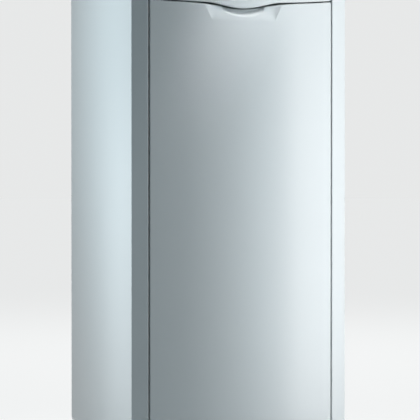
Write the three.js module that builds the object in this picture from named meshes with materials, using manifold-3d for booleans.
// Floor-standing oil condensing boiler, in millimetres.
// +Z is up, the door faces -Y, and the origin is on the floor under the middle of the whole part.
import * as THREE from 'three';
import { mergeVertices } from 'three/addons/utils/BufferGeometryUtils.js';
import Module from 'manifold-3d';

const wasm = await Module();
wasm.setup();

// General fits
const fit = 0.3;
const overrun = 6;
const sheet = 1.2;
const panelGap = 3;
const rodSides = 12;
const turnSides = 20;
const knobSides = 16;
const hexSides = 6;

// Casing
const casingWidth = 570;
const casingHeight = 1272;
const sideDepth = 655;
const frontRadius = 975;
const topFrontRadius = 70;
const topSideRadius = 12;
const topRearRadius = 8;
const footCornerRadius = 10;
const leastRadius = 1;
const casingFoot = 30;
const stripWidth = 40.5;
const stripFold = 18;
const seamDrop = 87;
const seamGap = 0.8;
const pipeReach = 40;
const frontSteps = 16;
const cornerSteps = 4;

// Front door and the line where it meets the flap
const doorFoot = 62;
const doorSideDepth = 29.6;
const doorSheet = 1.5;
const gapLineDrop = 122;
const broadDip = 10;
const lobeDip = 14;
const lobeHalf = 104;
const gapLineSteps = 20;
const shoulderDip = 2;
const shoulderMiddle = 92;
const shoulderHalf = 60;

// Grip scooped into the top of the door
const scoopHeight = 44;
const scoopBelowLip = 31;
const scoopTopHalf = 104;
const scoopBottomHalf = 83;
const scoopDepth = 12;
const scoopSideSlope = 0.26;
const scoopRampPower = 1.6;
const pocketHalf = 58;
const pocketBelowLip = 19;
const pocketRise = 14;
const pocketDepth = 16;
const pocketLip = 5;
const scoopWall = 1.5;
const scoopOutside = 1;
const scoopColumns = 22;
const scoopRows = 10;

// Door hinge, catch posts and insulation
const doorAxisInset = 8;
const doorAxisRise = 12;
const doorPinRadius = 4;
const doorPinLength = 19;
const hookThickness = 4;
const hookFromEdge = 13.5;
const hookNoseRadius = 8;
const hookNeck = 8;
const hookPlateWidth = 16;
const catchFromSide = 105;
const catchDrop = 47;
const catchPostWidth = 16;
const catchPostHeight = 12;
const catchStudRadius = 4;
const catchStudReach = 12;
const catchClearance = 1;
const insulationThickness = 12;
const insulationInset = 18;
const insulationTopDrop = 90;

// Console flap
const flapDepth = 190;
const flapWall = 2.5;
const flapRim = 14;
const flapBarrelRadius = 5;
const flapAxisDrop = 5.5;
const flapPinRadius = 3;
const flapPinReach = 5;
const flapRearGap = 1;
const cheekWall = 2;
const cheekBehindHinge = 20;
const topFlange = 22;

// Base
const trayBottom = 25;
const traySheet = 2;
const trayRim = 30;
const trayBehindDoor = 12.6;
const plinthFoot = 28;
const plinthTop = 58;
const footRadius = 22;
const footDisc = 5;
const footNeckRadius = 12;
const footNeckStart = 12;
const footStudRadius = 5;
const footStudTop = 50;
const footInsetX = 45;
const footInsetY = 26;

// Front cross rail
const railBehindDoor = 2;
const railDepth = 28;
const railDrop = 30;
const railHeight = 35;
const railSheet = 1.5;

// Boiler vessel, its axis running front to back
const boilerHeight = 690;
const boilerSetback = 236;
const boilerRadius = 175;
const boilerRearSpace = 119;
const boilerEdge = 14;
const furnaceRadius = 95;
const furnaceRearWall = 40;
const jacketThickness = 30;
const jacketEdge = 8;
const linerWall = 8;
const linerStart = 8;
const linerRearSpace = 30;
const gasketInner = 98;
const gasketOuter = 118;
const gasketThickness = 5;
const plateRadius = 124;
const plateThickness = 10;
const plateBoss = 62;
const plateBossRise = 6;

// Condensing exchanger and the cradle plates that carry it and the boiler
const exchangerX = -60;
const exchangerHeightShare = 0.6;
const exchangerRadiusShare = 0.23;
const exchangerFrontInset = 12;
const exchangerRearInset = 5;
const exchangerEdge = 18;
const coverEdge = 13;
const coverThickness = 14;
const cradleThickness = 8;
const cradleSideSpace = 63;
const cradleTopDrop = 90;
const cradleCorner = 20;
const cradleFrontInset = 30;
const cradleRearInset = 60;
const hoseWindow = 14;

// Flue
const collectorWidth = 260;
const collectorDepth = 90;
const collectorBelow = 86;
const collectorBelowJacket = 15;
const collectorCorner = 16;
const riserWidth = 90;
const riserTopDrop = 40;
const collarRise = 20;
const collarWall = 4;
const flueFromSide = 145;
const flueFromRear = 74;
const flueBore = 37;
const flueWall = 1.5;
const fluePipeDrop = 130;
const adapterDrop = 147;
const adapterFloorDrop = 115;
const adapterRise = 50;
const airPipeRadius = 62.5;
const airPortRadius = 26;
const airPortDrop = 74;
const airPortReach = 90;

// Water connections
const waterFromSide = 165;
const waterSpacing = 180;
const waterPipeRadius = 17;
const waterPipeBore = 13;
const waterFlange = 25;
const waterFlangeThickness = 7;
const nutRadius = 24;
const nutWidth = 16;
const nutFromEnd = 9;
const drainX = 108;
const drainBelowAxis = 108;
const cockRadius = 11;
const cockLength = 58;
const cockSpout = 30;
const cockSpoutRadius = 7;
const bonnetRadius = 9;
const bonnetReach = 20;
const leverHub = 6;
const leverLength = 46;
const leverWidth = 9;
const leverThickness = 3;

// Burner
const fanDrop = 100;
const fanSetback = 125;
const fanRadius = 62;
const fanWidth = 38;
const fanEnd = 38;
const fanPlate = 2.5;
const fanHubRadius = 12;
const fanRingWidth = 10;
const bladeCount = 18;
const bladeThickness = 1.2;
const bladeDepth = 14;
const bladeSweep = 0.55;
const shaftRadius = 5;
const shaftStart = -80;
const shaftEnd = 62;
const couplingRadius = 8;
const couplingStart = 50;
const couplingEnd = 116;
const scrollRadius = 82;
const scrollGrowth = 10;
const housingHalf = 45;
const housingWall = 4;
const chamberFront = 100;
const chamberRear = 30;
const chamberTop = 50;
const cupRadius = 66;
const cupWidth = 60;
const eyeRadius = 38;
const motorHole = 20;
const portOuter = 26;
const portBore = 22;
const portRise = 110;
const motorRadius = 48;
const motorLength = 108;
const motorFlange = 5;
const motorGrooves = 4;
const motorGroove = 3;
const motorGroovePitch = 12;
const motorGrooveStart = 20;
const motorBore = 8;
const capacitorHalf = 18;
const capacitorRise = 22;
const capacitorLength = 60;
const pumpHalf = 27;
const pumpLength = 46;
const pumpCorner = 8;
const pumpNoseRadius = 16;
const pumpNose = 12;
const pumpBoreRadius = 9.5;
const unionRadius = 8;
const unionDrop = 9;
const ignitionHalf = 34;
const ignitionRise = 38;
const ignitionCorner = 4;
const tubeRadius = 45;
const tubeBore = 42.5;
const tubeReach = 95;
const nozzleRodRadius = 5;
const nozzleStart = 16;
const nozzleReach = 62;
const nozzleHead = 9;
const nozzleUnionWall = 2.5;
const nozzleHeadLength = 18;
const diffuserRadius = 38;
const diffuserSheet = 2;
const diffuserHoles = 6;
const diffuserHole = 5;
const diffuserRing = 25;
const diffuserBack = 10;

// Oil filter and oil lines
const filterFromSide = 99;
const filterDrop = 305;
const filterHalf = 20;
const filterDepth = 34;
const filterHeadHeight = 30;
const bowlRadius = 16;
const bowlDrop = 62;
const oilLineRadius = 5;
const oilLineSides = 6;
const oilLineSteps = 34;
const oilHoseSteps = 18;
const oilLineFromSide = 51;
const oilLineHeight = 120;
const oilLineReach = 20;
const oilLineBend = 24;

// Condensate
const condensateFromBox = 80;
const condensateHeight = 104;
const trapRadius = 26;
const trapBottom = 84;
const trapFromRear = 78;
const trapEdge = 5;
const trapSpout = 8;
const neutraliserFromSide = 85;
const neutraliserX1 = 60;
const neutraliserFront = 50;
const neutraliserDepth = 170;
const neutraliserTop = 128;
const neutraliserCorner = 14;
const neutraliserLid = 12;
const neutraliserLip = 4;

// Console, tilted back under the flap
const consoleTilt = (46 * Math.PI) / 180;
const consoleBack = 128;
const consoleDrop = 89;
const consoleLength = 140;
const consoleSheet = 3;
const boxFront = 84;
const boxRear = 300;
const boxBottomDrop = 152;
const boxTopDrop = 34;
const boxSideSpace = 45;
const boxWall = 2;
const boardSideSpace = 90;
const boardHalfY = 40;
const boardDepth = 24;
const boardSheet = 1.6;
const boardPost = 4;
const boardPostInset = 10;
const windowHalfX = 60;
const windowHalfY = 28;
const windowY = 14;
const windowRebate = 6;
const windowSeat = 1.5;
const windowRise = 0.6;
const knobShift = 14;
const knobY = 10;
const knobRadius = 20;
const knobSkirt = 25;
const knobSkirtHeight = 3;
const knobHeight = 18;
const knobTaper = 2;
const knobPointer = 3;
const knobEdge = 1;
const spindleRadius = 3;
const spindleDepth = 13;
const switchFromSide = 80;
const switchY = 18;
const rockerHalfX = 8.5;
const rockerHalfY = 12;
const rockerTip = 3;
const rockerDip = 1.2;
const rockerFoot = 6;
const rockerPivotDepth = 2;
const rockerAngle = (8 * Math.PI) / 180;
const rockerClearanceX = 0.5;
const rockerClearanceY = 1.5;
const buttonHalfX = 9;
const buttonHalfY = 5;
const buttonCorner = 3;
const buttonRise = 3;
const buttonFlange = 1.5;
const buttonFlangeSheet = 1.6;
const buttonRowY = -42;
const buttonPitch = 40;
const gaugeFromSide = 81;
const gaugeY = 10;
const gaugeRadius = 24;
const gaugeBezel = 27;
const gaugeBezelRise = 3.5;
const gaugeDepth = 20;
const gaugeDialDepth = 2;
const gaugeFace = 22.5;
const needleHub = 3;
const needleLength = 17;
const needleWidth = 1.6;
const needleSheet = 0.8;
const needleSpindle = 1;
const lensSheet = 1.2;
const lensSeat = 1.2;

// Rear panel and cable gland
const rearPanelFoot = 34;
const rearPanelDrop = 42;
const glandFromSide = 85;
const glandDrop = 222;
const glandThread = 8;
const glandBody = 12;
const glandBore = 4;
const glandReach = 22;
const glandLock = 6;

// Air hose
const hoseCrest = 26;
const hoseRoot = 23;
const hoseBore = 20;
const hoseRibs = 40;
const hoseSides = 8;
const hoseBoreEvery = 5;

const half = casingWidth / 2;
const seamHeight = casingHeight - seamDrop;
const gapLineHeight = casingHeight - gapLineDrop;
const railTop = gapLineHeight - railDrop;
const railBottom = railTop - railHeight;
const rearPanelTop = casingHeight - rearPanelDrop;
const glandX = half - glandFromSide;
const glandHeight = casingHeight - glandDrop;
const catchFromCentre = half - catchFromSide;
const stripEdge = half - stripWidth;
const doorHalf = stripEdge - panelGap;
const bulge = frontRadius - Math.sqrt(frontRadius ** 2 - half ** 2);
const crownY = -(bulge + sideDepth + pipeReach) / 2;
const cornerY = crownY + bulge;
const rearY = cornerY + sideDepth;
const pipeEndY = rearY + pipeReach;
const flapAxisY = crownY + flapDepth;
const flapAxisZ = casingHeight - flapAxisDrop;
const doorBackY = frontY(doorHalf) + doorSideDepth;
const doorAxisY = doorBackY - doorAxisInset;
const doorAxisZ = doorFoot + doorAxisRise;
const trayTop = trayBottom + traySheet;
const trayFrontY = doorBackY + trayBehindDoor;
const trayHalf = half - sheet - fit;
const innerRearY = rearY - 2 * sheet - fit;
const boilerFrontY = cornerY + boilerSetback;
const boilerLength = sideDepth - boilerSetback - boilerRearSpace;
const boilerRearY = boilerFrontY + boilerLength;
const furnaceDepth = boilerLength - furnaceRearWall;
const linerLength = furnaceDepth - linerRearSpace;
const jacketFoot = boilerHeight - boilerRadius - jacketThickness;
const spaceBelow = jacketFoot - trayTop;
const exchangerHeight = trayTop + spaceBelow * exchangerHeightShare;
const exchangerRadius = spaceBelow * exchangerRadiusShare;
const collectorBottom = exchangerHeight - collectorBelow;
const collectorTop = jacketFoot - collectorBelowJacket;
const riserTop = boilerHeight - riserTopDrop;
const cradleHalf = half - cradleSideSpace;
const cradleTop = boilerHeight - cradleTopDrop;
const fanY = boilerFrontY - fanSetback;
const fanZ = boilerHeight - fanDrop;
const flueX = flueFromSide - half;
const flueY = rearY - flueFromRear;
const fluePipeTop = casingHeight - fluePipeDrop;
const adapterFoot = casingHeight - adapterDrop;
const adapterFloor = casingHeight - adapterFloorDrop;
const airPortHeight = casingHeight - airPortDrop;
const waterX = half - waterFromSide;
const flowHeight = boilerHeight + waterSpacing / 2;
const returnHeight = boilerHeight - waterSpacing / 2;
const exchangerEndY = boilerRearY - exchangerRearInset;
const cradleFrontY = boilerFrontY + cradleFrontInset;
const cradleRearY = boilerRearY - cradleRearInset;
const chamberFrontY = boilerFrontY - chamberFront;
const chamberRearY = boilerFrontY - chamberRear;
const chamberTopZ = boilerHeight + chamberTop;
const cupEnd = housingHalf + cupWidth;
const drainZ = boilerHeight - drainBelowAxis;
const trapY = rearY - trapFromRear;
const neutraliserX0 = neutraliserFromSide - half;
const condensateX = neutraliserX0 + condensateFromBox;
const filterX = half - filterFromSide;
const filterY = cradleFrontY - fit - filterDepth / 2;
const filterHeight = boilerHeight - filterDrop;
const oilLineX = half - oilLineFromSide;
const consoleY = crownY + consoleBack;
const consoleMiddle = casingHeight - consoleDrop;
const boxBottom = casingHeight - boxBottomDrop;
const boxTop = casingHeight - boxTopDrop;
const boxHalf = half - boxSideSpace;
const boardHalfX = boxHalf - boardSideSpace;
const gaugeX = half - gaugeFromSide;
const knobX = (windowHalfX + gaugeX - knobShift) / 2;
const switchX = switchFromSide - half;

function solidOf(item) {
  if (!item.isBufferGeometry) return item;
  const bare = item.clone();
  bare.deleteAttribute('normal');
  bare.deleteAttribute('uv');
  const merged = mergeVertices(bare);
  const mesh = new wasm.Mesh({
    numProp: 3,
    vertProperties: Float32Array.from(merged.attributes.position.array),
    triVerts: Uint32Array.from(merged.index.array),
  });
  return new wasm.Manifold(mesh);
}

function join(first, ...others) {
  return others.reduce((sum, item) => sum.add(solidOf(item)), solidOf(first));
}

function cut(first, ...others) {
  return others.reduce((rest, item) => rest.subtract(solidOf(item)), solidOf(first));
}

function meet(first, ...others) {
  return others.reduce((common, item) => common.intersect(solidOf(item)), solidOf(first));
}

function geometryOf(item) {
  if (item.isBufferGeometry) return item;
  const mesh = item.getMesh();
  const geometry = new THREE.BufferGeometry();
  geometry.setAttribute('position', new THREE.BufferAttribute(mesh.vertProperties, 3));
  geometry.setIndex(new THREE.BufferAttribute(mesh.triVerts, 1));
  return geometry;
}

function finish(color, roughness, metalness) {
  return { color, roughness, metalness };
}

function piece(parent, name, item, look) {
  const mesh = new THREE.Mesh(geometryOf(item), new THREE.MeshStandardMaterial(look));
  mesh.name = name;
  parent.add(mesh);
  return mesh;
}

function block(x0, x1, y0, y1, z0, z1) {
  const box = new THREE.BoxGeometry(x1 - x0, y1 - y0, z1 - z0);
  return box.translate((x0 + x1) / 2, (y0 + y1) / 2, (z0 + z1) / 2);
}

const axisBases = {
  x: [[0, 1, 0], [0, 0, 1], [1, 0, 0]],
  y: [[1, 0, 0], [0, 0, 1], [0, -1, 0]],
  z: [[1, 0, 0], [0, 1, 0], [0, 0, 1]],
};

function turnTo(geometry, axis) {
  const columns = axisBases[axis].map((column) => new THREE.Vector3(...column));
  return geometry.applyMatrix4(new THREE.Matrix4().makeBasis(...columns));
}

// A flat outline pushed along an axis, its own x and y lying along the other two axes in order.
function prism(axis, shape, start, end, curveSegments = cornerSteps) {
  const depth = end - start;
  const body = new THREE.ExtrudeGeometry(shape, { depth, curveSegments, bevelEnabled: false });
  turnTo(body, axis);
  const shift = axis === 'y' ? end : start;
  return body.translate(axis === 'x' ? shift : 0, axis === 'y' ? shift : 0, axis === 'z' ? shift : 0);
}

function outline(points) {
  return new THREE.Shape(points.map(([u, v]) => new THREE.Vector2(u, v)));
}

function circle(u, v, radius, sides = rodSides) {
  const points = [];
  for (let i = 0; i < sides; i++) {
    const angle = (2 * Math.PI * i) / sides;
    points.push([u + radius * Math.cos(angle), v + radius * Math.sin(angle)]);
  }
  return outline(points);
}

function rounded(u0, u1, v0, v1, radius) {
  const shape = new THREE.Shape();
  shape.moveTo(u0 + radius, v0);
  shape.lineTo(u1 - radius, v0);
  shape.absarc(u1 - radius, v0 + radius, radius, -Math.PI / 2, 0);
  shape.lineTo(u1, v1 - radius);
  shape.absarc(u1 - radius, v1 - radius, radius, 0, Math.PI / 2);
  shape.lineTo(u0 + radius, v1);
  shape.absarc(u0 + radius, v1 - radius, radius, Math.PI / 2, Math.PI);
  shape.lineTo(u0, v0 + radius);
  shape.absarc(u0 + radius, v0 + radius, radius, Math.PI, 1.5 * Math.PI);
  return shape;
}

function rod(axis, radius, start, end, u, v, sides = rodSides) {
  return prism(axis, circle(u, v, radius, sides), start, end);
}

function pipe(axis, outer, inner, start, end, u, v, sides = rodSides) {
  const bore = rod(axis, inner, start - overrun, end + overrun, u, v, sides);
  return cut(rod(axis, outer, start, end, u, v, sides), bore);
}

// Sections of equal point counts along +X, each a list of [y, z] running anticlockwise seen from +X.
function loft(stations, sectionAt) {
  const positions = [];
  const index = [];
  const sections = stations.map(sectionAt);
  const ring = sections[0].length;
  sections.forEach((section, s) => section.forEach(([y, z]) => positions.push(stations[s], y, z)));
  for (let s = 0; s < stations.length - 1; s++) {
    for (let i = 0; i < ring; i++) {
      const near = s * ring + i;
      const next = s * ring + ((i + 1) % ring);
      index.push(near, next, near + ring);
      index.push(next, next + ring, near + ring);
    }
  }
  const last = (stations.length - 1) * ring;
  capOf(sections[0]).forEach(([a, b, c]) => index.push(c, b, a));
  capOf(sections[stations.length - 1]).forEach(([a, b, c]) => index.push(last + a, last + b, last + c));
  const geometry = new THREE.BufferGeometry();
  geometry.setAttribute('position', new THREE.Float32BufferAttribute(positions, 3));
  geometry.setIndex(index);
  return geometry;
}

function capOf(section) {
  const contour = section.map(([u, v]) => new THREE.Vector2(u, v));
  return THREE.ShapeUtils.triangulateShape(contour, []);
}

function spread(from, to, steps) {
  return Array.from({ length: steps + 1 }, (unused, i) => from + ((to - from) * i) / steps);
}

function arc(u, v, radius, from, to, steps = cornerSteps) {
  return spread(from, to, steps).map((a) => [u + radius * Math.cos(a), v + radius * Math.sin(a)]);
}

// The front of the casing is one arc in plan.
function frontY(x) {
  return crownY + frontRadius - Math.sqrt(frontRadius ** 2 - x ** 2);
}

// The outer form of the casing, or with an inset the form one wall further in.
function envelope(inset, foot) {
  const top = casingHeight - inset;
  const rear = rearY - inset;
  const stations = spread(-(half - inset), half - inset, frontSteps);
  const body = loft(stations, (x) => {
    const front = frontY(x) + inset;
    const frontBend = Math.max(topFrontRadius - inset, leastRadius);
    const rearBend = Math.max(topRearRadius - inset, leastRadius);
    return [
      [front, foot],
      ...arc(rear - footCornerRadius, foot + footCornerRadius, footCornerRadius, -Math.PI / 2, 0),
      ...arc(rear - rearBend, top - rearBend, rearBend, 0, Math.PI / 2),
      ...arc(front + frontBend, top - frontBend, frontBend, Math.PI / 2, Math.PI),
    ];
  });
  const wide = half - inset;
  const sideRadius = Math.max(topSideRadius - inset, leastRadius);
  const across = new THREE.Shape();
  across.moveTo(-wide, foot);
  across.lineTo(wide, foot);
  across.absarc(wide - sideRadius, top - sideRadius, sideRadius, 0, Math.PI / 2);
  across.absarc(sideRadius - wide, top - sideRadius, sideRadius, Math.PI / 2, Math.PI);
  return meet(body, prism('y', across, crownY - overrun, rearY + overrun));
}

// Height of the middle of the gap between door and flap: a broad dip with a lobe over the grip.
function gapLine(x) {
  const broad = broadDip * (1 - (x / doorHalf) ** 2);
  const lobe = Math.abs(x) < lobeHalf ? (lobeDip * (1 + Math.cos((Math.PI * x) / lobeHalf))) / 2 : 0;
  return gapLineHeight - broad - lobe;
}

// The gap widens beside the lobe, where fingers slide towards the grip.
function doorTop(x) {
  const off = Math.abs(Math.abs(x) - shoulderMiddle) / shoulderHalf;
  const shoulder = off < 1 ? shoulderDip * Math.cos((off * Math.PI) / 2) ** 2 : 0;
  return gapLine(x) - panelGap / 2 - shoulder;
}

const casingOuter = envelope(0, casingFoot);
const casingSkin = cut(casingOuter, envelope(sheet, casingFoot - footCornerRadius - overrun));
const lipZ = gapLine(0) + panelGap / 2;

const white = finish(0xe9edee, 0.3, 0);
const zinc = finish(0xb4b8ba, 0.45, 0.8);
const steel = finish(0xa9adb0, 0.35, 0.9);
const darkPlastic = finish(0x3b3f42, 0.5, 0);
const greyPlastic = finish(0xb9bfc3, 0.45, 0);

function sidePanel(side) {
  const reach = half + overrun;
  const top = seamHeight - seamGap / 2;
  const sides = [side * stripEdge, side * reach].sort((a, b) => a - b);
  const wall = meet(casingSkin, block(...sides, crownY, rearY + overrun, 0, top));
  const foldSides = [side * stripEdge, side * (stripEdge + sheet)].sort((a, b) => a - b);
  const foldEnd = frontY(stripEdge) + stripFold;
  const fold = meet(casingOuter, block(...foldSides, crownY, foldEnd, 0, top));
  return join(wall, fold);
}

function topCover() {
  const bottom = seamHeight + seamGap / 2;
  const windowRear = flapAxisY + flapBarrelRadius + flapRearGap;
  const above = casingHeight + overrun;
  const upper = block(-half - overrun, half + overrun, crownY - overrun, rearY + overrun, bottom, above);
  const window = block(-stripEdge, stripEdge, crownY - overrun, windowRear, bottom - overrun, above);
  let cover = cut(meet(casingSkin, upper), window);
  for (const side of [-1, 1]) {
    const sides = [side * stripEdge, side * (stripEdge + cheekWall)].sort((a, b) => a - b);
    const cheek = block(...sides, crownY, flapAxisY + cheekBehindHinge, bottom, casingHeight);
    cover = join(cover, meet(casingOuter, cheek));
  }
  const flangeTop = casingHeight - sheet / 2;
  const flangeFoot = casingHeight - topFlange;
  const flange = block(-stripEdge, stripEdge, windowRear, windowRear + sheet, flangeFoot, flangeTop);
  cover = join(cover, flange);
  const cheekOut = stripEdge + cheekWall + overrun;
  const pinHoles = rod('x', flapPinRadius + fit, -cheekOut, cheekOut, flapAxisY, flapAxisZ);
  const flueHole = rod('z', airPipeRadius + fit, flapAxisZ - overrun, above, flueX, flueY, turnSides);
  return cut(cover, pinHoles, flueHole);
}

// Region of the flap seen from the front, drawn in from its edges by an inset.
function flapFace(inset) {
  const edge = doorHalf - inset;
  const lower = spread(-edge, edge, gapLineSteps).map((x) => [x, gapLine(x) + panelGap / 2 + inset]);
  const points = [...lower, [edge, casingHeight + overrun], [-edge, casingHeight + overrun]];
  return prism('y', outline(points), crownY - overrun, flapAxisY);
}

function consoleFlap() {
  const band = cut(casingOuter, envelope(flapRim, 0));
  const outer = meet(band, flapFace(0));
  const inner = meet(envelope(flapWall, 0), flapFace(flapWall));
  const barrel = rod('x', flapBarrelRadius, -doorHalf, doorHalf, flapAxisY, flapAxisZ);
  const reach = stripEdge + flapPinReach;
  const pins = rod('x', flapPinRadius, -reach, reach, flapAxisY, flapAxisZ);
  return join(cut(outer, inner), barrel, pins);
}

// Region of the door seen from the front, drawn in from its edges by an inset.
function doorFace(inset, back) {
  const edge = doorHalf - inset;
  const upper = spread(edge, -edge, gapLineSteps).map((x) => [x, doorTop(x) - inset]);
  const points = [[-edge, doorFoot + inset], [edge, doorFoot + inset], ...upper];
  return prism('y', outline(points), crownY - overrun, back);
}

// The space behind the curved front, back to a flat plane.
function frontSlab(inset, back, x0, x1, z0, z1) {
  return loft(spread(x0, x1, frontSteps), (x) => [
    [frontY(x) + inset, z0],
    [back, z0],
    [back, z1],
    [frontY(x) + inset, z1],
  ]);
}

// How far the grip lies behind the door's face: a ramp held by two side facets, and the finger pocket.
function scoopDepthAt(x, z) {
  const foot = lipZ - scoopBelowLip;
  const rise = (z - foot) / scoopHeight;
  if (rise <= 0) return -scoopOutside;
  const ramp = scoopDepth * rise ** scoopRampPower;
  const edge = scoopBottomHalf + (scoopTopHalf - scoopBottomHalf) * rise - Math.abs(x);
  const facet = edge * scoopSideSlope;
  const floor = Math.min(ramp, facet);
  const lip = lipZ - pocketBelowLip + pocketRise * (x / pocketHalf) ** 2;
  const into = Math.min(Math.max((z - lip) / pocketLip, 0), 1);
  const side = Math.min(Math.max((pocketHalf - Math.abs(x)) / pocketLip, 0), 1);
  const pocket = pocketDepth * into * into * (3 - 2 * into) * side;
  return floor + pocket;
}

function scoopBody(offset) {
  const reach = scoopTopHalf + overrun;
  const top = gapLineHeight + overrun;
  const heights = spread(lipZ - scoopHeight, top, scoopRows);
  return loft(spread(-reach, reach, scoopColumns), (x) => [
    [frontY(x) - overrun, heights[0]],
    ...heights.map((z) => [frontY(x) + Math.max(scoopDepthAt(x, z), -scoopOutside) + offset, z]),
    [frontY(x) - overrun, top],
  ]);
}

function frontDoor() {
  const slab = frontSlab(0, doorBackY, -doorHalf, doorHalf, doorFoot, gapLineHeight);
  const outer = meet(slab, doorFace(0, doorBackY + overrun));
  const hollowTop = gapLineHeight + overrun;
  const hollow = frontSlab(doorSheet, doorBackY + overrun, -doorHalf, doorHalf, doorFoot - overrun, hollowTop);
  const inner = meet(hollow, doorFace(doorSheet, doorBackY + 2 * overrun));
  let door = join(cut(outer, inner), meet(scoopBody(scoopWall), outer));
  door = cut(door, scoopBody(0));
  for (const side of [-1, 1]) {
    const x = side * catchFromCentre;
    const z = gapLineHeight - catchDrop;
    const w = catchPostWidth / 2;
    const h = catchPostHeight / 2;
    const post = block(x - w, x + w, frontY(x) + doorSheet / 2, doorBackY, z - h, z + h);
    const stud = rod('y', catchStudRadius, doorBackY - overrun, doorBackY + catchStudReach, x, z);
    door = join(door, post, stud, doorPin(side));
  }
  return door;
}

function doorInsulation() {
  const reach = doorHalf - insulationInset;
  const foot = doorFoot + insulationInset;
  const top = gapLineHeight - insulationTopDrop;
  return loft(spread(-reach, reach, frontSteps), (x) => {
    const face = frontY(x) + doorSheet + fit;
    return [[face, foot], [face + insulationThickness, foot], [face + insulationThickness, top], [face, top]];
  });
}

function doorPin(side) {
  const outer = side * (doorHalf - doorSheet / 2);
  const inner = outer - side * doorPinLength;
  return rod('x', doorPinRadius, Math.min(outer, inner), Math.max(outer, inner), doorAxisY, doorAxisZ);
}

// A welded plate whose nose carries one door pin.
function doorHook(side) {
  const x = side * (doorHalf - hookFromEdge);
  const ends = [x - hookThickness / 2, x + hookThickness / 2];
  const neckEnd = trayFrontY + hookPlateWidth;
  const nose = rod('x', hookNoseRadius, ...ends, doorAxisY, doorAxisZ);
  const neck = block(...ends, doorAxisY, neckEnd, doorAxisZ - hookNeck / 2, doorAxisZ + hookNoseRadius);
  const plate = block(...ends, trayFrontY, neckEnd, trayBottom + traySheet / 2, doorAxisZ + hookNoseRadius);
  const seat = rod('x', doorPinRadius + fit, x - hookThickness, x + hookThickness, doorAxisY, doorAxisZ);
  return cut(join(nose, neck, plate), seat);
}

function baseTray() {
  const outer = block(-trayHalf, trayHalf, trayFrontY, innerRearY - fit, trayBottom, trayBottom + trayRim);
  const inside = block(-trayHalf + traySheet, trayHalf - traySheet, trayFrontY + traySheet,
    innerRearY - fit - traySheet, trayTop, trayBottom + trayRim + overrun);
  let tray = join(cut(outer, inside), doorHook(-1), doorHook(1));
  for (const [x, y] of footPlaces()) {
    tray = cut(tray, rod('z', footStudRadius + fit, trayBottom - overrun, trayTop + overrun, x, y));
  }
  return tray;
}

function footPlaces() {
  const x = half - footInsetX;
  const front = trayFrontY + footInsetY;
  const rear = rearY - footInsetX;
  return [[-x, front], [x, front], [-x, rear], [x, rear]];
}

function levellingFoot(x, y) {
  const profile = [
    [0, 0],
    [footRadius, 0],
    [footRadius, footDisc],
    [footNeckRadius, footNeckStart],
    [footNeckRadius, trayBottom - fit],
    [footStudRadius, trayBottom - fit],
    [footStudRadius, footStudTop],
    [0, footStudTop],
  ];
  return turned('z', profile, rodSides).translate(x, y, 0);
}

// A turned piece from [radius, distance] points that run outward side first along the axis.
function turned(axis, profile, sides = turnSides) {
  const points = profile.map(([r, h]) => new THREE.Vector2(r, h));
  const body = new THREE.LatheGeometry(points, sides).rotateX(Math.PI / 2);
  if (axis === 'x') body.rotateY(Math.PI / 2);
  if (axis === 'y') body.rotateX(-Math.PI / 2);
  return body;
}

function plinthPanel() {
  const reach = stripEdge - panelGap;
  return block(-reach, reach, trayFrontY - fit - sheet, trayFrontY - fit, plinthFoot, plinthTop);
}

function frontCrossRail() {
  const front = doorBackY + railBehindDoor;
  const profile = outline([
    [front, railBottom],
    [front + railDepth, railBottom],
    [front + railDepth, railBottom + railSheet],
    [front + railSheet, railBottom + railSheet],
    [front + railSheet, railTop - railSheet],
    [front + railDepth, railTop - railSheet],
    [front + railDepth, railTop],
    [front, railTop],
  ]);
  let rail = solidOf(prism('x', profile, -trayHalf, trayHalf));
  for (const side of [-1, 1]) {
    const z = gapLineHeight - catchDrop;
    const socket = rod('y', catchStudRadius + catchClearance, front - overrun, front + overrun,
      side * catchFromCentre, z);
    rail = cut(rail, socket);
  }
  return rail;
}

function holes(body, axis, radius, start, end, places, sides = rodSides) {
  return places.reduce((rest, [u, v]) => cut(rest, rod(axis, radius, start, end, u, v, sides)), body);
}

function rearPanel() {
  const reach = trayHalf;
  const panel = block(-reach, reach, innerRearY, innerRearY + sheet, rearPanelFoot, rearPanelTop);
  const start = innerRearY - overrun;
  const end = rearY + overrun;
  const waterPlaces = [[waterX, flowHeight], [waterX, returnHeight]];
  let pierced = holes(panel, 'y', waterPipeRadius + fit, start, end, waterPlaces);
  pierced = holes(pierced, 'y', glandThread + fit, start, end, [[glandX, glandHeight]]);
  return holes(pierced, 'y', oilLineRadius + fit, start, end, [[oilLineX, oilLineHeight]]);
}

function cableGland() {
  const outside = rearY - sheet;
  const shell = join(
    rod('y', glandThread, innerRearY - glandLock, outside + glandReach, glandX, glandHeight),
    rod('y', glandBody, outside, outside + glandReach / 2, glandX, glandHeight, hexSides),
    rod('y', glandBody, innerRearY - glandLock - fit, innerRearY - fit, glandX, glandHeight, hexSides),
  );
  return holes(shell, 'y', glandBore, crownY, pipeEndY, [[glandX, glandHeight]]);
}

// Boiler
function boilerBody() {
  const furnaceEnd = furnaceDepth;
  const profile = [
    [0, furnaceEnd],
    [furnaceRadius - boilerEdge, furnaceEnd],
    [furnaceRadius, furnaceEnd - boilerEdge],
    [furnaceRadius, 0],
    [boilerRadius - boilerEdge, 0],
    [boilerRadius, boilerEdge],
    [boilerRadius, boilerLength - boilerEdge],
    [boilerRadius - boilerEdge, boilerLength],
    [0, boilerLength],
  ];
  return turned('y', profile).translate(0, boilerFrontY, boilerHeight);
}

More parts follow.
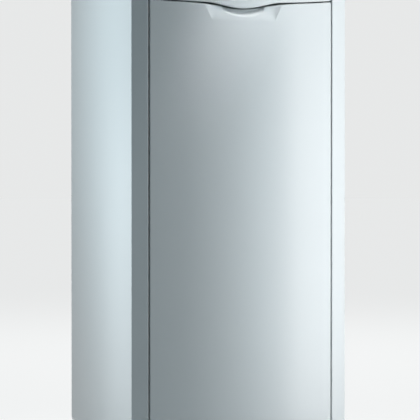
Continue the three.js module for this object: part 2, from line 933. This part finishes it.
function insulationJacket() {
  const inner = boilerRadius + fit;
  const outer = boilerRadius + jacketThickness;
  const profile = [
    [inner, boilerEdge],
    [inner, 0],
    [outer - jacketEdge, 0],
    [outer, jacketEdge],
    [outer, boilerLength - jacketEdge],
    [outer - jacketEdge, boilerLength],
    [inner, boilerLength],
    [inner, boilerEdge],
  ];
  return turned('y', profile).translate(0, boilerFrontY, boilerHeight);
}

function ringBody(outer, inner, start, end, x, z) {
  return turned('y', [[inner, 0], [outer, 0], [outer, end - start], [inner, end - start], [inner, 0]])
    .translate(x, start, z);
}

function combustionLiner() {
  const outer = furnaceRadius - fit;
  const start = boilerFrontY + linerStart;
  return ringBody(outer, outer - linerWall, start, start + linerLength, 0, boilerHeight);
}

function plateGasket() {
  const end = boilerFrontY - fit;
  return ringBody(gasketOuter, gasketInner, end - gasketThickness, end, 0, boilerHeight);
}

function burnerPlate() {
  const rear = -2 * fit - gasketThickness;
  const front = rear - plateThickness;
  const bore = tubeRadius + fit;
  const profile = [
    [bore, front - plateBossRise],
    [plateBoss - plateBossRise, front - plateBossRise],
    [plateBoss, front],
    [plateRadius, front],
    [plateRadius, rear],
    [bore, rear],
    [bore, front - plateBossRise],
  ];
  return turned('y', profile).translate(0, boilerFrontY, boilerHeight);
}

// A cradle plate with a saddle for the jacket, a hole for the exchanger and one for the condensate hose.
function cradlePlate(front) {
  const plate = prism('y', rounded(-cradleHalf, cradleHalf, trayTop + fit, cradleTop, cradleCorner), front,
    front + cradleThickness);
  const saddle = boilerRadius + jacketThickness + fit;
  const start = front - overrun;
  const end = front + cradleThickness + overrun;
  let body = holes(plate, 'y', saddle, start, end, [[0, boilerHeight]], turnSides);
  body = holes(body, 'y', exchangerRadius + fit, start, end, [[exchangerX, exchangerHeight]], turnSides);
  return holes(body, 'y', hoseWindow, start, end, [[condensateX, condensateHeight]]);
}

function condensingExchanger() {
  const length = exchangerEndY - boilerFrontY - exchangerFrontInset;
  const cover = exchangerRadius - coverEdge;
  const profile = [
    [0, -coverThickness],
    [cover, -coverThickness],
    [cover, 0],
    [exchangerRadius - exchangerEdge, 0],
    [exchangerRadius, exchangerEdge],
    [exchangerRadius, length],
    [0, length],
  ];
  return turned('y', profile).translate(exchangerX, boilerFrontY + exchangerFrontInset, exchangerHeight);
}

// Flue
function flueCollector() {
  const front = exchangerEndY + fit;
  const rear = front + collectorDepth;
  const left = exchangerX - collectorWidth / 2;
  const right = exchangerX + collectorWidth / 2;
  const main = prism('y', rounded(left, right, collectorBottom, collectorTop, collectorCorner), front, rear);
  const riserFoot = collectorTop - collectorCorner * 2;
  const riserShape = rounded(-riserWidth / 2, riserWidth / 2, riserFoot, riserTop, collectorCorner);
  const riser = prism('y', riserShape, boilerRearY + fit, rear);
  const collarEnd = collectorTop + collarRise;
  const seat = flueBore + flueWall + fit;
  const collar = rod('z', seat + collarWall, collectorTop - overrun, collarEnd, flueX, flueY, turnSides);
  const socket = rod('z', seat, collectorTop, collarEnd + overrun, flueX, flueY, turnSides);
  const bore = rod('z', flueBore, collectorTop - collarRise, collectorTop + overrun, flueX, flueY, turnSides);
  return cut(join(main, riser, collar), socket, bore);
}

function fluePipe() {
  return pipe('z', flueBore + flueWall, flueBore, collectorTop + fit, fluePipeTop, flueX, flueY, turnSides);
}

function flueAdapter() {
  const top = casingHeight + adapterRise;
  const innerBore = flueBore + flueWall + fit;
  const portStart = flueY - airPortReach;
  const outer = join(
    rod('z', airPipeRadius, adapterFloor - flueWall, top, flueX, flueY, turnSides),
    rod('y', airPortRadius, portStart, flueY, flueX, airPortHeight, turnSides),
  );
  const hollow = cut(
    outer,
    rod('z', airPipeRadius - flueWall, adapterFloor, top + overrun, flueX, flueY, turnSides),
    rod('y', airPortRadius - flueWall, portStart - overrun, flueY, flueX, airPortHeight, turnSides),
  );
  const inner = rod('z', innerBore + flueWall, adapterFoot, top, flueX, flueY, turnSides);
  const bore = rod('z', innerBore, adapterFoot - overrun, top + overrun, flueX, flueY, turnSides);
  return cut(join(hollow, inner), bore);
}

// Water connections
function waterPipe(height) {
  const start = boilerRearY + fit;
  const nutEnd = pipeEndY - nutFromEnd;
  const body = join(
    rod('y', waterPipeRadius, start, pipeEndY, waterX, height),
    rod('y', waterFlange, start, start + waterFlangeThickness, waterX, height),
    rod('y', nutRadius, nutEnd - nutWidth, nutEnd, waterX, height, hexSides),
  );
  return holes(body, 'y', waterPipeBore, start - overrun, pipeEndY + overrun, [[waterX, height]]);
}

function drainCock() {
  const start = boilerFrontY - fit - cockLength;
  const spoutY = start + cockSpoutRadius + fit;
  const middle = (start + boilerFrontY) / 2;
  return join(
    rod('y', cockRadius, start, boilerFrontY - fit, drainX, drainZ),
    rod('z', cockSpoutRadius, drainZ - cockSpout, drainZ, drainX, spoutY),
    rod('x', bonnetRadius, drainX, drainX + bonnetReach, middle, drainZ),
  );
}

// A flat lever on a round hub, drawn from its pivot along +v.
function leverShape(u, v, length) {
  const shape = new THREE.Shape();
  const waist = leverWidth / 2;
  const meetAngle = Math.acos(waist / leverHub);
  shape.absarc(u, v, leverHub, meetAngle + Math.PI / 2 + (Math.PI / 2 - meetAngle), 2 * Math.PI + meetAngle);
  shape.lineTo(u + waist, v + length - waist);
  shape.absarc(u, v + length - waist, waist, 0, Math.PI);
  shape.lineTo(u - waist, v + leverHub * Math.sin(meetAngle));
  return shape;
}

function drainLever() {
  const start = drainX + bonnetReach + fit;
  const middle = boilerFrontY - (fit + cockLength) / 2;
  return prism('x', leverShape(middle, drainZ, leverLength), start, start + leverThickness);
}

// Burner
function scrollOutline(inset) {
  const points = [];
  const steps = turnSides;
  for (let i = 0; i <= steps; i++) {
    const turn = i / steps;
    const angle = Math.PI / 2 + turn * 2 * Math.PI;
    const radius = scrollRadius + scrollGrowth * (turn - 1) - inset;
    points.push([fanY + radius * Math.cos(angle), fanZ + radius * Math.sin(angle)]);
  }
  return outline(points);
}

function burnerHousing() {
  const left = -housingHalf;
  const right = housingHalf;
  const chamber = (inset, side) => block(
    left + side,
    right - side,
    chamberFrontY + inset,
    chamberRearY - inset,
    fanZ - scrollRadius / 2,
    chamberTopZ - inset,
  );
  const portX = housingHalf + cupWidth / 2;
  const outer = join(
    prism('x', scrollOutline(0), left, right),
    chamber(0, 0),
    rod('x', cupRadius, right, cupEnd, fanY, fanZ, turnSides),
    rod('z', portOuter, fanZ, fanZ + portRise, portX, fanY),
  );
  return cut(
    outer,
    prism('x', scrollOutline(housingWall), left + housingWall, right - housingWall),
    chamber(housingWall, housingWall),
    rod('x', cupRadius - housingWall, right, cupEnd - housingWall, fanY, fanZ, turnSides),
    rod('x', eyeRadius, right - housingWall - fit, right + fit, fanY, fanZ, turnSides),
    rod('x', motorHole, left - fit, left + housingWall + fit, fanY, fanZ),
    rod('x', couplingRadius + 2 * fit, cupEnd - housingWall - fit, cupEnd + fit, fanY, fanZ),
    rod('z', portBore, fanZ, fanZ + portRise + overrun, portX, fanY),
    rod('y', tubeBore, chamberRearY - housingWall - fit, chamberRearY + fit, 0, boilerHeight, turnSides),
    rod('y', nozzleRodRadius + fit, chamberFrontY - fit, chamberFrontY + housingWall + fit, 0, boilerHeight),
  );
}

function fanBlade(angle) {
  const inner = fanRadius - bladeDepth;
  const at = (radius, a) => [fanY + radius * Math.cos(a), fanZ + radius * Math.sin(a)];
  const across = bladeThickness / inner;
  const sweepAt = (share) => angle + (bladeSweep * share * share * bladeDepth) / inner;
  const shares = spread(0, 1, 2);
  const lead = shares.map((share) => at(inner + bladeDepth * share, sweepAt(share)));
  const back = shares.map((share) => at(inner + bladeDepth * share, sweepAt(share) + across)).reverse();
  return prism('x', outline([...lead, ...back]), fanEnd - fanWidth + fanPlate / 2, fanEnd - fanPlate / 2);
}

function fanWheel() {
  const start = fanEnd - fanWidth;
  const plate = rod('x', fanRadius, start, start + fanPlate, fanY, fanZ, turnSides);
  const hub = rod('x', fanHubRadius, start, fanEnd - fanPlate, fanY, fanZ);
  const ring = pipe('x', fanRadius, fanRadius - fanRingWidth, fanEnd - fanPlate, fanEnd, fanY, fanZ, turnSides);
  const blades = Array.from({ length: bladeCount }, (unused, i) => fanBlade((2 * Math.PI * i) / bladeCount));
  const wheel = join(plate, hub, ring, ...blades);
  return cut(wheel, rod('x', shaftRadius + fit, start - overrun, fanEnd + overrun, fanY, fanZ));
}

function motorShaft() {
  return rod('x', shaftRadius, shaftStart, shaftEnd, fanY, fanZ);
}

function driveCoupling() {
  const sleeve = rod('x', couplingRadius, couplingStart, couplingEnd, fanY, fanZ);
  return cut(sleeve, rod('x', shaftRadius + fit, couplingStart - overrun, shaftEnd + fit, fanY, fanZ));
}

function burnerMotor() {
  const end = motorLength;
  const inner = motorRadius - motorGroove;
  const grooved = [];
  for (let i = 0; i < motorGrooves; i++) {
    const at = motorGrooveStart + i * motorGroovePitch;
    grooved.push([motorRadius, at], [inner, at], [inner, at + motorGroovePitch / 2]);
    grooved.push([motorRadius, at + motorGroovePitch / 2]);
  }
  const profile = [
    [0, 0],
    [motorRadius - motorGrooveStart / 2, 0],
    [motorRadius, motorGrooveStart / 2],
    ...grooved,
    [motorRadius, end - motorFlange],
    [motorRadius + motorFlange, end - motorFlange],
    [motorRadius + motorFlange, end],
    [0, end],
  ];
  const start = -housingHalf - fit - motorLength;
  const shell = turned('x', profile, rodSides).translate(start, fanY, fanZ);
  const middle = start + motorLength / 2;
  const capacitor = block(
    middle - capacitorLength / 2,
    middle + capacitorLength / 2,
    fanY - capacitorHalf,
    fanY + capacitorHalf,
    fanZ + motorRadius / 2,
    fanZ + motorRadius + capacitorRise,
  );
  const bore = rod('x', motorBore, shaftStart - overrun, overrun - housingHalf, fanY, fanZ);
  return cut(join(shell, capacitor), bore);
}

function oilPump() {
  const start = cupEnd + fit;
  const shape = rounded(fanY - pumpHalf, fanY + pumpHalf, fanZ - pumpHalf, fanZ + pumpHalf, pumpCorner);
  const body = prism('x', shape, start, start + pumpLength);
  const nose = rod('x', pumpNoseRadius, start + pumpLength / 2, start + pumpLength + pumpNose, fanY, fanZ);
  const unionFoot = fanZ - pumpHalf - unionDrop;
  const union = rod('z', unionRadius, unionFoot, fanZ, start + pumpLength / 2, fanY, hexSides);
  const bore = rod('x', pumpBoreRadius, start - overrun, couplingEnd + 2 * fit, fanY, fanZ);
  return cut(join(body, nose, union), bore);
}

function ignitionUnit() {
  const foot = chamberTopZ + fit;
  const shape = rounded(-ignitionHalf, ignitionHalf, chamberFrontY, chamberRearY, ignitionCorner);
  return prism('z', shape, foot, foot + ignitionRise, 2);
}

function nozzleRod() {
  const start = chamberFrontY - nozzleStart;
  const tip = boilerFrontY + nozzleReach;
  const union = nozzleRodRadius + nozzleUnionWall;
  const headStart = tip - nozzleHeadLength;
  const discFront = tip - diffuserBack;
  let disc = rod('y', diffuserRadius, discFront, discFront + diffuserSheet, 0, boilerHeight, turnSides);
  for (let i = 0; i < diffuserHoles; i++) {
    const angle = (2 * Math.PI * i) / diffuserHoles;
    const x = diffuserRing * Math.cos(angle);
    const z = boilerHeight + diffuserRing * Math.sin(angle);
    disc = cut(disc, rod('y', diffuserHole, discFront - fit, tip, x, z, oilLineSides));
  }
  return join(
    rod('y', nozzleRodRadius, start, discFront, 0, boilerHeight),
    block(-union, union, start - nozzleStart, start, boilerHeight - union, boilerHeight + union),
    rod('y', nozzleHead, headStart, tip, 0, boilerHeight),
    disc,
  );
}

function flameTube() {
  const start = chamberRearY + fit;
  return pipe('y', tubeRadius, tubeBore, start, boilerFrontY + tubeReach, 0, boilerHeight, turnSides);
}

// Oil filter and oil lines
function oilFilter() {
  const front = filterY - filterDepth / 2;
  const head = prism('z', rounded(filterX - filterHalf, filterX + filterHalf, front, filterY + filterDepth / 2,
    ignitionCorner), filterHeight - filterHeadHeight / 2, filterHeight + filterHeadHeight / 2, 2);
  const bowlTop = filterHeight - filterHeadHeight / 2 + fit;
  const profile = [
    [0, -bowlDrop],
    [bowlRadius - trapEdge, -bowlDrop],
    [bowlRadius, trapEdge - bowlDrop],
    [bowlRadius, fit],
    [0, fit],
  ];
  return join(head, turned('z', profile, rodSides).translate(filterX, filterY, bowlTop));
}

function oilTapLever() {
  const foot = filterHeight + filterHeadHeight / 2 + fit;
  const lever = prism('z', leverShape(0, 0, leverLength), foot, foot + leverThickness);
  return lever.rotateZ(Math.PI).translate(filterX, filterY, 0);
}

// A line through the given corners with each corner rounded.
function bentPath(points, bend) {
  const corners = points.map((point) => new THREE.Vector3(...point));
  const path = new THREE.CurvePath();
  let from = corners[0];
  for (let i = 1; i < corners.length - 1; i++) {
    const before = corners[i].clone().add(corners[i - 1].clone().sub(corners[i]).setLength(bend));
    const after = corners[i].clone().add(corners[i + 1].clone().sub(corners[i]).setLength(bend));
    path.add(new THREE.LineCurve3(from, before));
    path.add(new THREE.QuadraticBezierCurve3(before, corners[i], after));
    from = after;
  }
  path.add(new THREE.LineCurve3(from, corners[corners.length - 1]));
  return path;
}

function along(path, radius, steps, sides = oilLineSides) {
  return new THREE.ExtrudeGeometry(circle(0, 0, radius, sides), {
    steps,
    extrudePath: path,
    bevelEnabled: false,
  });
}

function oilLine() {
  const path = bentPath([
    [filterX + filterHalf + fit, filterY, filterHeight],
    [oilLineX, filterY, filterHeight],
    [oilLineX, filterY, oilLineHeight],
    [oilLineX, rearY + oilLineReach, oilLineHeight],
  ], oilLineBend);
  return along(path, oilLineRadius, oilLineSteps);
}

function oilHose() {
  const pumpX = cupEnd + fit + pumpLength / 2;
  const top = fanZ - pumpHalf - unionDrop - fit;
  const side = filterX - filterHalf - fit;
  const path = new THREE.CatmullRomCurve3([
    [side, filterY, filterHeight],
    [side - oilLineBend / 2, filterY, filterHeight],
    [side - oilLineBend, filterY - oilLineBend, filterHeight + oilLineBend / 4],
    [(side + pumpX) / 2 - oilLineBend / 2, (filterY + fanY) / 2, filterHeight + 2 * oilLineBend],
    [pumpX, fanY, filterHeight + 5 * oilLineBend],
    [pumpX, fanY, top - oilLineBend],
    [pumpX, fanY, top],
  ].map((point) => new THREE.Vector3(...point)));
  return along(path, oilLineRadius, oilHoseSteps);
}

// Condensate
function condensateTrap() {
  const rise = collectorBottom - fit - trapBottom;
  const profile = [
    [0, 0],
    [trapRadius - trapEdge, 0],
    [trapRadius, trapEdge],
    [trapRadius, rise - trapEdge],
    [trapRadius / 2, rise - trapEdge],
    [trapRadius / 2, rise],
    [0, rise],
  ];
  const bottle = turned('z', profile, rodSides).translate(condensateX, trapY, trapBottom);
  const spout = rod('y', trapSpout, trapY - trapRadius - trapSpout, trapY, condensateX, condensateHeight);
  return join(bottle, spout);
}

function neutraliserBox() {
  const front = cornerY + neutraliserFront;
  const rear = front + neutraliserDepth;
  const foot = trayTop + fit;
  const lidFoot = neutraliserTop - neutraliserLid;
  const tub = rounded(neutraliserX0, neutraliserX1, front, rear, neutraliserCorner);
  const lid = rounded(neutraliserX0 - neutraliserLip, neutraliserX1 + neutraliserLip, front - neutraliserLip,
    rear + neutraliserLip, neutraliserCorner + neutraliserLip);
  return join(prism('z', tub, foot, lidFoot + fit, 3), prism('z', lid, lidFoot, neutraliserTop, 3));
}

function condensateHose() {
  const start = cornerY + neutraliserFront + neutraliserDepth + fit;
  return rod('y', trapSpout, start, trapY - trapRadius - trapSpout - fit, condensateX, condensateHeight);
}

// A hose whose outer skin steps between crest and root at each rib, round a smooth bore.
function ribbedHose(path, ribs) {
  const rings = 2 * ribs + 1;
  const frames = path.computeFrenetFrames(rings - 1, false);
  const positions = [];
  const index = [];
  const ringAt = (r, radius) => {
    const centre = path.getPointAt(r / (rings - 1));
    const first = positions.length / 3;
    for (let i = 0; i < hoseSides; i++) {
      const angle = (2 * Math.PI * i) / hoseSides;
      const spoke = frames.normals[r].clone().multiplyScalar(radius * Math.cos(angle));
      spoke.addScaledVector(frames.binormals[r], radius * Math.sin(angle)).add(centre);
      positions.push(spoke.x, spoke.y, spoke.z);
    }
    return first;
  };
  const skin = (from, to) => {
    for (let i = 0; i < hoseSides; i++) {
      const next = (i + 1) % hoseSides;
      index.push(from + i, from + next, to + i, from + next, to + next, to + i);
    }
  };
  const outer = spread(0, rings - 1, rings - 1).map((r) => ringAt(r, r % 2 ? hoseCrest : hoseRoot));
  const boreStations = outer.map((unused, r) => r).filter((r) => r % hoseBoreEvery === 0 || r === rings - 1);
  const bore = boreStations.map((r) => ringAt(r, hoseBore));
  outer.slice(1).forEach((ring, i) => skin(outer[i], ring));
  bore.slice(1).forEach((ring, i) => skin(ring, bore[i]));
  skin(bore[0], outer[0]);
  skin(outer[outer.length - 1], bore[bore.length - 1]);
  const geometry = new THREE.BufferGeometry();
  geometry.setAttribute('position', new THREE.Float32BufferAttribute(positions, 3));
  geometry.setIndex(index);
  return geometry;
}

function airHose() {
  const portX = housingHalf + cupWidth / 2;
  const start = fanZ + portRise + fit;
  const end = flueY - airPortReach - fit;
  const over = boilerHeight + boilerRadius + jacketThickness + 2 * hoseCrest;
  const path = new THREE.CatmullRomCurve3([
    [portX, fanY, start],
    [portX, fanY, start + 2 * hoseCrest],
    [portX, fanY + hoseCrest / 2, over - 2 * hoseCrest],
    [portX / 2, (fanY + boilerFrontY) / 2 + hoseCrest, over + 2 * hoseCrest],
    [flueX / 2, boilerFrontY + 4 * hoseCrest, airPortHeight - 5 * hoseCrest],
    [flueX, end - 3 * hoseCrest, airPortHeight - hoseCrest],
    [flueX, end - hoseCrest, airPortHeight],
    [flueX, end, airPortHeight],
  ].map((point) => new THREE.Vector3(...point)));
  return ribbedHose(path, hoseRibs);
}

// Console pieces are drawn flat, facing +Z with +Y up the slope, inside a group that tilts them back.
function consoleBackY(z, depth) {
  const slope = Math.tan(consoleTilt);
  return consoleY + depth / Math.sin(consoleTilt) + (z - consoleMiddle) / slope;
}

function controlBox() {
  const seat = consoleSheet + fit;
  const top = boxTop;
  const rear = crownY + boxRear;
  const foot = boxBottom + fit;
  const lower = crownY + boxFront;
  const lowerZ = consoleMiddle + (lower - consoleY - seat / Math.sin(consoleTilt)) * Math.tan(consoleTilt);
  const upper = consoleBackY(top, seat);
  const outer = outline([[lower, foot], [rear, foot], [rear, top], [upper, top], [lower, lowerZ]]);
  const inner = outline([
    [lower + boxWall, foot + boxWall],
    [rear - boxWall, foot + boxWall],
    [rear - boxWall, top - boxWall],
    [consoleBackY(top - boxWall, -overrun), top - boxWall],
    [consoleBackY(lowerZ, -overrun), lowerZ],
    [lower + boxWall, lowerZ],
  ]);
  return cut(prism('x', outer, -boxHalf, boxHalf), prism('x', inner, boxWall - boxHalf, boxHalf - boxWall));
}

const buttonPlaces = [
  ['button_down', -buttonPitch, buttonRowY],
  ['button_up', buttonPitch, buttonRowY],
  ['reset_button', switchX, buttonRowY],
];

function centred(x, y, halfX, halfY, radius) {
  return rounded(x - halfX, x + halfX, y - halfY, y + halfY, radius);
}

function consolePanel() {
  const reach = stripEdge - fit;
  const long = consoleLength / 2;
  const through = [-consoleSheet - fit, fit];
  const rebate = centred(0, windowY, windowHalfX + fit, windowHalfY + fit, buttonCorner);
  const view = centred(0, windowY, windowHalfX - windowRebate, windowHalfY - windowRebate, buttonCorner);
  let panel = cut(
    block(-reach, reach, -long, long, -consoleSheet, 0),
    prism('z', rebate, -windowSeat, fit, 3),
    prism('z', view, ...through, 3),
    block(switchX - rockerHalfX - rockerClearanceX, switchX + rockerHalfX + rockerClearanceX,
      switchY - rockerHalfY - rockerClearanceY, switchY + rockerHalfY + rockerClearanceY, ...through),
    rod('z', gaugeRadius + fit, ...through, gaugeX, gaugeY, knobSides),
  );
  for (const [, x, y] of buttonPlaces) {
    const hole = centred(x, y, buttonHalfX + fit, buttonHalfY + fit, buttonCorner);
    panel = cut(panel, prism('z', hole, ...through, 3));
  }
  return holes(panel, 'z', spindleRadius + fit, ...through, [[-knobX, knobY], [knobX, knobY]]);
}

function displayWindow() {
  const shape = centred(0, windowY, windowHalfX, windowHalfY, buttonCorner);
  return prism('z', shape, fit - windowSeat, windowRise, 3);
}

function knob(x) {
  const skirtTop = fit + knobSkirtHeight;
  const profile = [
    [0, -spindleDepth],
    [spindleRadius, -spindleDepth],
    [spindleRadius, fit],
    [knobSkirt, fit],
    [knobSkirt, skirtTop - knobEdge],
    [knobSkirt - knobEdge, skirtTop],
    [knobRadius, skirtTop],
    [knobRadius - knobTaper, knobHeight - knobEdge],
    [knobRadius - knobTaper - knobEdge, knobHeight],
    [0, knobHeight],
  ];
  const body = turned('z', profile, knobSides).translate(x, knobY, 0);
  const reach = knobRadius - knobTaper / 2;
  const pointer = block(x - knobPointer / 2, x + knobPointer / 2, knobY, knobY + reach, knobHeight / 2,
    knobHeight + knobTaper);
  return join(body, pointer);
}

function mainsSwitch() {
  const profile = outline([
    [-rockerHalfY, -rockerFoot],
    [rockerHalfY, -rockerFoot],
    [rockerHalfY, rockerTip],
    [0, rockerDip],
    [-rockerHalfY, rockerTip],
  ]);
  const rocker = prism('x', profile, -rockerHalfX, rockerHalfX);
  rocker.translate(0, 0, rockerPivotDepth).rotateX(-rockerAngle);
  return rocker.translate(switchX, switchY, -rockerPivotDepth);
}

function button(x, y) {
  const flangeTop = -consoleSheet - fit;
  const shape = centred(x, y, buttonHalfX, buttonHalfY, buttonCorner);
  const cap = prism('z', shape, flangeTop - fit, buttonRise, 3);
  const flange = prism('z', centred(x, y, buttonHalfX + buttonFlange, buttonHalfY + buttonFlange, buttonCorner),
    flangeTop - buttonFlangeSheet, flangeTop, 3);
  return join(cap, flange);
}

function gaugeCase() {
  const profile = [
    [0, -gaugeDepth],
    [gaugeRadius, -gaugeDepth],
    [gaugeRadius, fit],
    [gaugeBezel, fit],
    [gaugeBezel, gaugeBezelRise],
    [gaugeFace, gaugeBezelRise],
    [gaugeFace, -gaugeDialDepth],
    [needleSpindle, -gaugeDialDepth],
    [needleSpindle, 0],
    [0, 0],
  ];
  return turned('z', profile, knobSides).translate(gaugeX, gaugeY, 0);
}

function gaugeNeedle() {
  const foot = fit - gaugeDialDepth;
  const hub = rod('z', needleHub, foot, foot + needleSheet, gaugeX, gaugeY);
  const tip = outline([
    [gaugeX - needleWidth, gaugeY],
    [gaugeX + needleWidth, gaugeY],
    [gaugeX + needleWidth / 4, gaugeY + needleLength],
    [gaugeX - needleWidth / 4, gaugeY + needleLength],
  ]);
  const body = join(hub, prism('z', tip, foot, foot + needleSheet));
  return cut(body, rod('z', needleSpindle + fit, foot - fit, fit, gaugeX, gaugeY));
}

function gaugeLens() {
  return rod('z', gaugeFace - fit, lensSeat, lensSeat + lensSheet, gaugeX, gaugeY, knobSides);
}

function controlBoard() {
  const top = boardSheet - boardDepth;
  let board = solidOf(block(-boardHalfX, boardHalfX, -boardHalfY, boardHalfY, -boardDepth, top));
  const seat = -consoleSheet - fit;
  const x = boardHalfX - boardPostInset;
  const y = boardHalfY - boardPostInset;
  for (const [px, py] of [[-x, -y], [x, -y], [-x, y], [x, y]]) {
    board = join(board, rod('z', boardPost, -boardDepth, seat, px, py, oilLineSides));
  }
  return board;
}

const boiler = new THREE.Group();

piece(boiler, 'side_panel_left', sidePanel(-1), white);
piece(boiler, 'side_panel_right', sidePanel(1), white);
piece(boiler, 'top_cover', topCover(), white);
piece(boiler, 'console_flap', consoleFlap(), white);
piece(boiler, 'front_door', frontDoor(), white);
piece(boiler, 'door_insulation', doorInsulation(), finish(0xd8d2c4, 0.9, 0));
piece(boiler, 'base_tray', baseTray(), zinc);
piece(boiler, 'plinth_panel', plinthPanel(), white);
piece(boiler, 'front_cross_rail', frontCrossRail(), zinc);
const footNames = ['front_left', 'front_right', 'rear_left', 'rear_right'];
footPlaces().forEach(([x, y], i) => {
  piece(boiler, `levelling_foot_${footNames[i]}`, levellingFoot(x, y), darkPlastic);
});

piece(boiler, 'rear_panel', rearPanel(), zinc);
piece(boiler, 'cable_gland', cableGland(), darkPlastic);
piece(boiler, 'boiler_body', boilerBody(), finish(0x5d6266, 0.6, 0.5));
piece(boiler, 'insulation_jacket', insulationJacket(), finish(0xc9c3b2, 0.95, 0));
piece(boiler, 'combustion_liner', combustionLiner(), finish(0xd9d4c8, 0.9, 0));
piece(boiler, 'plate_gasket', plateGasket(), finish(0xe3ded2, 0.95, 0));
piece(boiler, 'burner_plate', burnerPlate(), finish(0x4a4e52, 0.55, 0.6));
piece(boiler, 'cradle_plate_front', cradlePlate(cradleFrontY), zinc);
piece(boiler, 'cradle_plate_rear', cradlePlate(cradleRearY), zinc);
piece(boiler, 'condensing_exchanger', condensingExchanger(), steel);
piece(boiler, 'flue_collector', flueCollector(), greyPlastic);
piece(boiler, 'flue_pipe', fluePipe(), greyPlastic);
piece(boiler, 'flue_adapter', flueAdapter(), white);
piece(boiler, 'flow_pipe', waterPipe(flowHeight), finish(0xc08457, 0.4, 0.9));
piece(boiler, 'return_pipe', waterPipe(returnHeight), finish(0xc08457, 0.4, 0.9));
piece(boiler, 'drain_cock', drainCock(), finish(0xc9a85a, 0.35, 0.9));
piece(boiler, 'drain_lever', drainLever(), finish(0xb3322a, 0.5, 0));
piece(boiler, 'burner_housing', burnerHousing(), finish(0x8e9498, 0.5, 0.6));
piece(boiler, 'fan_wheel', fanWheel(), zinc);
piece(boiler, 'motor_shaft', motorShaft(), steel);
piece(boiler, 'drive_coupling', driveCoupling(), darkPlastic);
piece(boiler, 'burner_motor', burnerMotor(), finish(0x2f3336, 0.5, 0.2));
piece(boiler, 'oil_pump', oilPump(), steel);
piece(boiler, 'ignition_unit', ignitionUnit(), darkPlastic);
piece(boiler, 'nozzle_rod', nozzleRod(), steel);
piece(boiler, 'flame_tube', flameTube(), steel);
piece(boiler, 'oil_filter', oilFilter(), finish(0xc7cbcd, 0.35, 0.6));
piece(boiler, 'oil_tap_lever', oilTapLever(), finish(0xb3322a, 0.5, 0));
piece(boiler, 'oil_line', oilLine(), finish(0xc08457, 0.4, 0.9));
piece(boiler, 'oil_hose', oilHose(), darkPlastic);
piece(boiler, 'condensate_trap', condensateTrap(), greyPlastic);
piece(boiler, 'condensate_hose', condensateHose(), greyPlastic);
piece(boiler, 'neutraliser_box', neutraliserBox(), greyPlastic);
piece(boiler, 'air_hose', airHose(), darkPlastic);
piece(boiler, 'control_box', controlBox(), zinc);

const consoleGroup = new THREE.Group();
consoleGroup.position.set(0, consoleY, consoleMiddle);
consoleGroup.rotation.x = consoleTilt;
boiler.add(consoleGroup);
piece(consoleGroup, 'console_panel', consolePanel(), greyPlastic);
piece(consoleGroup, 'display_window', displayWindow(), finish(0x1d2a2c, 0.1, 0));
piece(consoleGroup, 'heating_knob', knob(-knobX), darkPlastic);
piece(consoleGroup, 'hot_water_knob', knob(knobX), darkPlastic);
piece(consoleGroup, 'mains_switch', mainsSwitch(), darkPlastic);
for (const [name, x, y] of buttonPlaces) {
  piece(consoleGroup, name, button(x, y), name === 'reset_button' ? finish(0xb3322a, 0.5, 0) : darkPlastic);
}
piece(consoleGroup, 'gauge_case', gaugeCase(), darkPlastic);
piece(consoleGroup, 'gauge_needle', gaugeNeedle(), finish(0xb3322a, 0.5, 0));
piece(consoleGroup, 'gauge_lens', gaugeLens(), finish(0xdfe8ea, 0.05, 0));
piece(consoleGroup, 'control_board', controlBoard(), finish(0x2f6b3f, 0.6, 0));

export default boiler;
